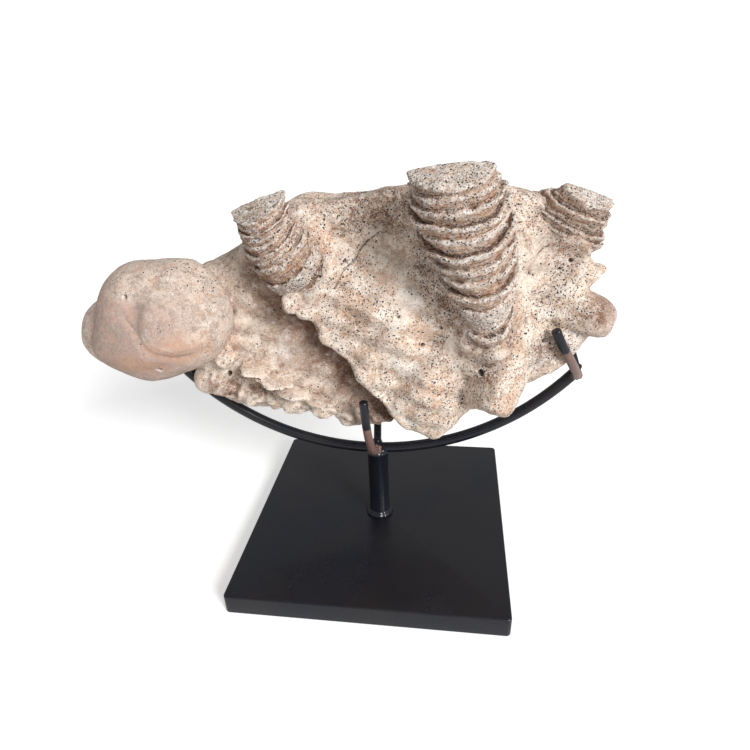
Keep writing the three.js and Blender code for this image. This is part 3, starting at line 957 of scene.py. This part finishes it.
def arm(name, points):
    """A bent arm with the weld at its root, and the path it follows."""
    bm = bmesh.new()
    path, _ = spline(points, False, 40)
    bar(bm, path, ARM_RADIUS, 28, 0.45)
    root = path[0]
    weld(bm, (root[0], root[1] * 0.75, root[2]), (4.9, 4.4, 4.6), 0, len(name) * 1.3)
    obj = new_object(mesh_from(bm, name + "_bar"), name + "_bar")
    points = coordinates(obj.data) / MM
    nearest = np.argmin(np.linalg.norm(points[:, None, :] - path[None, :, :], axis=2), axis=1)
    store(obj.data, "along", nearest / (len(path) - 1))
    return obj, path


# Materials


class Graph:
    """Short calls for building a shader tree or a node group."""

    def __init__(self, tree):
        self.tree = tree

    def node(self, kind, **values):
        made = self.tree.nodes.new(kind)
        for key, value in values.items():
            setattr(made, key, value)
        return made

    def link(self, source, target):
        if isinstance(source, (int, float)):
            target.default_value = source
        elif isinstance(source, (tuple, list)):
            target.default_value = tuple(source)
        else:
            self.tree.links.new(source, target)

    def math(self, operation, a, b=0.0, clamp=False):
        made = self.node("ShaderNodeMath", operation=operation, use_clamp=clamp)
        self.link(a, made.inputs[0])
        self.link(b, made.inputs[1])
        return made.outputs[0]

    def times(self, first, *others):
        for other in others:
            first = self.math("MULTIPLY", first, other)
        return first

    def plus(self, first, *others):
        for other in others:
            first = self.math("ADD", first, other)
        return first

    def most(self, first, *others):
        for other in others:
            first = self.math("MAXIMUM", first, other)
        return first

    def range(self, value, low, high, to_low=0.0, to_high=1.0, kind="SMOOTHSTEP"):
        made = self.node("ShaderNodeMapRange", interpolation_type=kind, clamp=True)
        for source, socket in zip((value, low, high, to_low, to_high), made.inputs):
            self.link(source, socket)
        return made.outputs[0]

    def between(self, start, end, share):
        """Start where share is 0 and end where it is 1."""
        return self.range(share, 0.0, 1.0, start, end, "LINEAR")

    def blend(self, share, a, b):
        made = self.node("ShaderNodeMix", data_type="RGBA")
        self.link(share, made.inputs["Factor"])
        self.link(a, made.inputs[6])
        self.link(b, made.inputs[7])
        return made.outputs[2]

    def noise(self, vector, scale, detail=4.0, roughness=0.55, distortion=0.0):
        made = self.node("ShaderNodeTexNoise")
        self.link(vector, made.inputs["Vector"])
        made.inputs["Scale"].default_value = scale
        made.inputs["Detail"].default_value = detail
        made.inputs["Roughness"].default_value = roughness
        made.inputs["Distortion"].default_value = distortion
        return made.outputs["Fac"]

    def attribute(self, name):
        return self.node("ShaderNodeAttribute", attribute_name=name).outputs["Fac"]

    def place(self):
        return self.node("ShaderNodeTexCoord").outputs["Object"]

    def group(self, tree, **inputs):
        made = self.node("ShaderNodeGroup", node_tree=tree)
        for key, source in inputs.items():
            self.link(source, made.inputs[key.replace("_", " ")])
        return made.outputs


def new_group(name, inputs, outputs):
    """An empty shader node group with named float, vector or colour sockets."""
    tree = bpy.data.node_groups.new(name, "ShaderNodeTree")
    for label, kind, default in inputs:
        socket = tree.interface.new_socket(label, in_out="INPUT", socket_type=kind)
        if default is not None:
            socket.default_value = default
    for label, kind in outputs:
        tree.interface.new_socket(label, in_out="OUTPUT", socket_type=kind)
    graph = Graph(tree)
    return graph, graph.node("NodeGroupInput").outputs, graph.node("NodeGroupOutput").inputs


FLOAT, VECTOR = "NodeSocketFloat", "NodeSocketVector"


def pores_group():
    """Round pores of varied size, Spacing metres apart, in a share Cover of the places.

    Mask is 1 inside a pore and Ring is 1 on the rubbed edge round it.
    """
    g, given, result = new_group(
        "Pores",
        [("Vector", VECTOR, None), ("Spacing", FLOAT, 0.002), ("Cover", FLOAT, 0.5), ("Size", FLOAT, 0.3)],
        [("Mask", FLOAT), ("Ring", FLOAT)],
    )
    shake = g.node("ShaderNodeTexNoise")
    g.link(given["Vector"], shake.inputs["Vector"])
    shake.inputs["Scale"].default_value = 700.0
    warp = g.node("ShaderNodeVectorMath", operation="MULTIPLY_ADD")
    g.link(shake.outputs["Color"], warp.inputs[0])
    warp.inputs[1].default_value = (0.0007, 0.0007, 0.0007)
    g.link(given["Vector"], warp.inputs[2])
    cells = g.node("ShaderNodeTexVoronoi", feature="F1", distance="EUCLIDEAN")
    g.link(warp.outputs[0], cells.inputs["Vector"])
    g.link(g.math("DIVIDE", 1.0, given["Spacing"]), cells.inputs["Scale"])
    pick = g.node("ShaderNodeSeparateColor")
    g.link(cells.outputs["Color"], pick.inputs[0])
    chosen = g.math("LESS_THAN", pick.outputs[0], given["Cover"])
    radius = g.times(given["Size"], g.between(0.55, 1.35, pick.outputs[1]))
    inside = g.math("SUBTRACT", radius, cells.outputs["Distance"])
    soft = g.range(inside, 0.0, 0.12)
    g.link(g.times(soft, chosen), result["Mask"])
    edge = g.times(g.range(inside, -0.16, -0.02), g.math("SUBTRACT", 1.0, soft))
    g.link(g.times(edge, chosen), result["Ring"])
    return g.tree


PORES = pores_group()


def new_material(name):
    material = bpy.data.materials.new(name)
    material.use_nodes = True
    graph = Graph(material.node_tree)
    shader = material.node_tree.nodes["Principled BSDF"]
    return material, graph, shader


def bump(g, height, strength, distance):
    made = g.node("ShaderNodeBump")
    made.inputs["Strength"].default_value = strength
    made.inputs["Distance"].default_value = distance
    g.link(height, made.inputs["Height"])
    return made.outputs[0]


def rgb(red, green, blue):
    """A colour given as 0 to 255 display values, turned to scene values."""
    def line(c):
        c /= 255
        return c / 12.92 if c <= 0.04045 else ((c + 0.055) / 1.055) ** 2.4
    return line(red), line(green), line(blue), 1.0


CREAM = rgb(233, 218, 202)
TAN = rgb(198, 170, 148)
PINK_TAN = rgb(182, 152, 139)
GREY_TAN = rgb(162, 147, 138)
ORANGE = rgb(204, 158, 124)
BROWN = rgb(120, 84, 62)
DARK = rgb(56, 35, 25)
CHALK = rgb(238, 233, 227)
WALL_BROWN = rgb(142, 112, 92)
RUST = rgb(190, 134, 96)


class ShellTextures:
    """The noises and stored masks that the shell's colour and relief share."""

    def __init__(self, g):
        self.at = g.place()
        self.cloud = g.noise(self.at, 26.0, 5.0, 0.62)
        self.patch = g.noise(self.at, 90.0, 6.0, 0.65, 0.4)
        self.speck = g.noise(self.at, 330.0, 5.0, 0.7)
        self.grain = g.noise(self.at, 1100.0, 3.0, 0.6)
        self.flecks = g.plus(g.times(self.speck, 0.4), g.times(self.grain, 0.6))
        self.mottle = g.plus(g.times(self.patch, 0.45), g.times(self.speck, 0.25), g.times(self.grain, 0.3))
        self.smooth = g.attribute("smooth")
        self.worn = g.attribute("worn")
        self.even = g.most(self.smooth, g.times(self.worn, 0.7))
        self.rusty = g.attribute("rusty")
        self.horn = g.attribute("horn")

        line_at = g.node("ShaderNodeCombineXYZ")
        g.link(g.attribute("growth"), line_at.inputs[0])
        g.link(g.times(g.noise(self.at, 40.0, 2.0, 0.5), 3.0), line_at.inputs[1])
        self.lines = g.noise(line_at.outputs[0], 0.9, 6.0, 0.8)


def ground_colour(g, tex):
    """Cream and tan, greyed where worn, pinkish on the knob and the lobe, with orange stains."""
    colour = g.blend(g.range(tex.mottle, 0.42, 0.56), TAN, CREAM)
    colour = g.blend(g.times(g.range(tex.cloud, 0.52, 0.68), 0.6), colour, CHALK)
    blush = g.plus(tex.mottle, g.times(tex.rusty, 0.1))
    pinkish = g.blend(g.range(blush, 0.42, 0.56), GREY_TAN, PINK_TAN)
    colour = g.blend(g.times(tex.smooth, 0.95), colour, pinkish)
    greyed = g.times(tex.worn, g.range(tex.cloud, 0.62, 0.4, 0.2, 0.75))
    colour = g.blend(greyed, colour, g.blend(g.range(tex.mottle, 0.4, 0.58), GREY_TAN, CREAM))
    orange = g.plus(g.noise(tex.at, 110.0, 7.0, 0.8), g.times(tex.rusty, 0.12))
    orange = g.times(g.range(orange, 0.5, 0.68), g.between(0.62, 0.5, tex.even))
    return g.blend(orange, colour, ORANGE)


def cup_colour(g, tex, colour):
    """Chalky pitted ledges over rusty walls in thin growth lines, with painted shade in the slots between
    the cups.
    """
    tone = g.attribute("tone")
    wall = g.times(g.range(tone, 0.55, 0.05), tex.horn)
    ledge = g.times(g.range(tone, 0.15, 0.85), tex.horn)
    slot = g.times(g.range(tone, -0.3, -0.9), tex.horn)
    wall_colour = g.blend(g.range(tex.cloud, 0.38, 0.6), WALL_BROWN, RUST)
    colour = g.blend(g.times(wall, g.range(tex.patch, 0.4, 0.58, 0.2, 0.8)), colour, wall_colour)
    ledge_colour = g.blend(g.range(tex.flecks, 0.42, 0.58), GREY_TAN, CHALK)
    colour = g.blend(g.times(ledge, g.range(tex.patch, 0.4, 0.6, 0.2, 0.7)), colour, ledge_colour)
    colour = g.blend(g.times(g.range(tex.lines, 0.52, 0.58), wall, 0.85), colour, DARK)
    # painted shade in the slots under the rims
    return g.blend(g.times(slot, 0.8), colour, DARK)


def stains_painted_shadow_and_rubs(g, tex, colour):
    """Stains, some of them painted shade, painted shade where forms meet, below the hanging edge and in
    hollows, and edges rubbed pale.
    """
    hollow = g.attribute("hollow")
    # stain patches, part real stain and part painted shade, and the brown rim along the hanging edge
    dirt_and_painted_shadow = g.times(g.attribute("stain_and_painted_shadow"), g.range(tex.mottle, 0.4, 0.58, 1.0, 0.35))
    # painted shade where the horns meet the body and one another
    painted_crevice_shadow = g.times(g.attribute("close"), g.range(tex.patch, 0.35, 0.6), 0.7)
    colour = g.blend(g.times(g.most(dirt_and_painted_shadow, painted_crevice_shadow), 0.92), colour, BROWN)
    # painted shadow of the hanging sheet, laid brown over the lower left part
    painted_cliff_shadow = g.times(g.attribute("painted_cliff_shadow"), g.range(tex.patch, 0.3, 0.65, 1.0, 0.75))
    colour = g.blend(painted_cliff_shadow, colour, BROWN)
    # painted shade: broad recesses (deep) go brown and small creases (hollow) go dark; ridges that stand
    # out (hollow below 0) are rubbed pale
    colour = g.blend(g.times(g.range(g.attribute("deep"), 0.15, 0.95), 0.62), colour, BROWN)
    colour = g.blend(g.times(g.range(hollow, 0.15, 0.9), 0.7), colour, DARK)
    return g.blend(g.times(g.range(hollow, -0.15, -0.8), 0.45), colour, CHALK)


def shell_pores(g, tex):
    """Pores of three sizes, thick in the porous patches and hardly any where the skin is worn smooth."""
    porous = g.attribute("porous")
    clumps = g.range(g.noise(tex.at, 80.0, 5.0, 0.7), 0.4, 0.58)
    cover = g.plus(g.times(clumps, g.between(0.7, 0.75, porous)), g.between(0.25, 0.7, porous))
    cover = g.times(cover, g.range(tex.even, 0.0, 0.8, 1.0, 0.02, "LINEAR"))
    cover = g.times(cover, g.between(1.0, 0.35, g.attribute("inside")))
    fine = g.group(PORES, Vector=tex.at, Spacing=0.0017, Cover=cover, Size=0.32)
    small = g.group(PORES, Vector=tex.at, Spacing=0.0027, Cover=g.times(cover, 0.85), Size=0.29)
    wide = g.group(PORES, Vector=tex.at, Spacing=0.0052, Cover=g.times(cover, 0.35), Size=0.18)
    pore = g.most(g.times(fine["Mask"], 0.95), g.most(small["Mask"], wide["Mask"]))
    return pore, g.most(small["Ring"], wide["Ring"])


def fine_marks(g, tex, colour, pore, ring):
    """Pores with their pale edges, the holes, and dark and pale flecks over all."""
    colour = g.blend(g.times(ring, 0.55), colour, CHALK)
    colour = g.blend(g.times(pore, 0.95), colour, DARK)
    colour = g.blend(g.times(g.attribute("hole"), 0.85), colour, DARK)
    dark = g.times(g.range(tex.flecks, 0.47, 0.36), g.between(0.6, 0.26, tex.even))
    colour = g.blend(dark, colour, BROWN)
    pale = g.times(g.range(tex.flecks, 0.52, 0.62), g.between(0.5, 0.2, tex.even))
    return g.blend(pale, colour, CHALK)


def fine_relief(g, tex, pore):
    """Height of the grain, the pores and the growth lines."""
    rough = g.math("SUBTRACT", 1.0, tex.even)
    height = g.plus(g.times(tex.speck, 0.55), g.times(tex.grain, 0.22))
    height = g.times(height, g.between(1.0, 0.5, tex.smooth))
    height = g.plus(height, g.times(tex.patch, g.times(rough, 0.7)))
    height = g.math("SUBTRACT", height, g.times(pore, 0.9))
    return g.plus(height, g.times(tex.lines, tex.horn, 0.9))


def shell_material():
    material, g, shader = new_material("worn_shell")
    tex = ShellTextures(g)
    colour = ground_colour(g, tex)
    colour = cup_colour(g, tex, colour)
    colour = stains_painted_shadow_and_rubs(g, tex, colour)
    pore, ring = shell_pores(g, tex)
    colour = fine_marks(g, tex, colour, pore, ring)
    g.link(colour, shader.inputs["Base Color"])
    g.link(g.range(tex.speck, 0.3, 0.7, 0.96, 0.78), shader.inputs["Roughness"])
    shader.inputs["Specular IOR Level"].default_value = 0.25
    g.link(bump(g, fine_relief(g, tex, pore), 0.8, 0.0011), shader.inputs["Normal"])
    return material


def painted_steel(name, worn):
    """Satin black paint with dust and rubs; worn also lays bare brown metal by the along attribute."""
    material, g, shader = new_material(name)
    at = g.place()
    broad = g.noise(at, 14.0, 4.0, 0.6)
    fine = g.noise(at, 900.0, 3.0, 0.6)
    dust = g.range(g.noise(at, 210.0, 6.0, 0.75), 0.66, 0.8)
    colour = g.blend(g.range(broad, 0.35, 0.65), rgb(19, 22, 32), rgb(27, 25, 30))
    colour = g.blend(g.times(dust, 0.12), colour, rgb(120, 112, 108))
    if worn:
        rubbed = g.range(g.attribute("along"), 0.76, 0.64)
        ragged = g.plus(rubbed, g.times(g.noise(at, 260.0, 4.0, 0.7), 0.6))
        metal = g.blend(g.noise(at, 400.0, 4.0, 0.6), rgb(96, 70, 64), rgb(142, 114, 106))
        colour = g.blend(g.range(ragged, 0.8, 1.0), colour, metal)
    g.link(colour, shader.inputs["Base Color"])
    g.link(g.range(broad, 0.3, 0.7, 0.24, 0.34), shader.inputs["Roughness"])
    shader.inputs["Specular IOR Level"].default_value = 0.5
    g.link(bump(g, fine, 0.12, 0.0003), shader.inputs["Normal"])
    return material


def floor_material():
    """Pale floor that keeps only a faint shadow: the camera sees it brighter than it lights the part."""
    material, g, shader = new_material("pale_floor")
    g.link(g.blend(g.noise(g.place(), 2.0, 2.0, 0.5), rgb(238, 238, 238), rgb(242, 242, 242)),
           shader.inputs["Base Color"])
    shader.inputs["Roughness"].default_value = 0.9
    shader.inputs["Specular IOR Level"].default_value = 0.1
    shader.inputs["Emission Color"].default_value = (1, 1, 1, 1)
    seen = g.node("ShaderNodeLightPath").outputs["Is Camera Ray"]
    g.link(g.between(0.0, FLOOR_LIFT, seen), shader.inputs["Emission Strength"])
    return material


def dress(obj, material, node):
    """Gives a piece its material and its place on the body, and hides the solid that it stands for."""
    obj.data.materials.clear()
    obj.data.materials.append(material)
    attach(obj, "root")
    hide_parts(node)
    for polygon in obj.data.polygons:
        polygon.use_smooth = True


def camera():
    """The camera that took the photograph, fitted to the plate's corners."""
    az, down, roll = (math.radians(a) for a in (CAMERA_AZIMUTH, CAMERA_DOWN, CAMERA_ROLL))
    back = Vector((math.sin(az) * math.cos(down), -math.cos(az) * math.cos(down), math.sin(down)))
    level = Vector((math.cos(az), math.sin(az), 0))
    above = back.cross(level)
    right = math.cos(roll) * level + math.sin(roll) * above
    up = math.cos(roll) * above - math.sin(roll) * level
    data = bpy.data.cameras.new("camera")
    data.sensor_width = SENSOR
    data.lens = FOCAL_SHARE * SENSOR
    data.clip_start = 0.02
    obj = bpy.data.objects.new("camera", data)
    bpy.context.scene.collection.objects.link(obj)
    turn = Matrix((right, up, back)).transposed().to_4x4()
    turn.translation = Vector(CAMERA_AT)
    obj.matrix_world = turn
    bpy.context.scene.camera = obj


def stage():
    """The floor, wide enough to fill the picture."""
    bm = bmesh.new()
    bmesh.ops.create_grid(bm, x_segments=1, y_segments=1, size=6000)
    floor = new_object(mesh_from(bm, "floor"), "floor")
    floor.data.materials.append(floor_material())


def key_light():
    data = bpy.data.lights.new("key", "SUN")
    data.energy = KEY
    data.angle = math.radians(KEY_ANGLE)
    obj = bpy.data.objects.new("key", data)
    obj.location = KEY_FROM
    obj.rotation_euler = (Vector(KEY_AIM) - Vector(KEY_FROM)).to_track_quat("-Z", "Y").to_euler()
    bpy.context.scene.collection.objects.link(obj)


def lights():
    world = bpy.data.worlds.new("studio")
    bpy.context.scene.world = world
    world.use_nodes = True
    g = Graph(world.node_tree)
    seen = g.node("ShaderNodeLightPath").outputs["Is Camera Ray"]
    sky = world.node_tree.nodes["Background"]
    sky.inputs["Color"].default_value = (1, 1, 1, 1)
    g.link(g.between(SKY, SKY_SEEN, seen), sky.inputs["Strength"])
    key_light()
    scene = bpy.context.scene
    scene.view_settings.view_transform = "Standard"
    scene.view_settings.look = "None"


camera()
stage()
lights()

rod, rod_path = cradle_rod()
arm_pieces = {}
bar_paths = [np.array(rod_path)]
for arm_name, arm_points in ARMS.items():
    arm_pieces[arm_name], arm_path = arm(arm_name, arm_points)
    bar_paths.append(arm_path)

black_steel = painted_steel("black_steel", False)
worn_arm = painted_steel("worn_arm", True)
dress(base_plate(), black_steel, "base_plate")
dress(post(), black_steel, "post")
dress(rod, black_steel, "cradle_rod")
for arm_name, piece in arm_pieces.items():
    if "front" in arm_name:
        dress(piece, worn_arm, arm_name)
    else:
        dress(piece, black_steel, arm_name)

shell_pieces = {"body": body_piece(bar_paths)}
for horn in HORNS:
    shell_pieces[horn.name] = horn_piece(horn)
worn_shell = shell_material()
store_masks(shell_pieces["body"], shell_pieces.values())
for horn in HORNS:
    store_masks(shell_pieces[horn.name], shell_pieces.values(), horn)
for piece in shell_pieces.values():
    dress(piece, worn_shell, "shell")
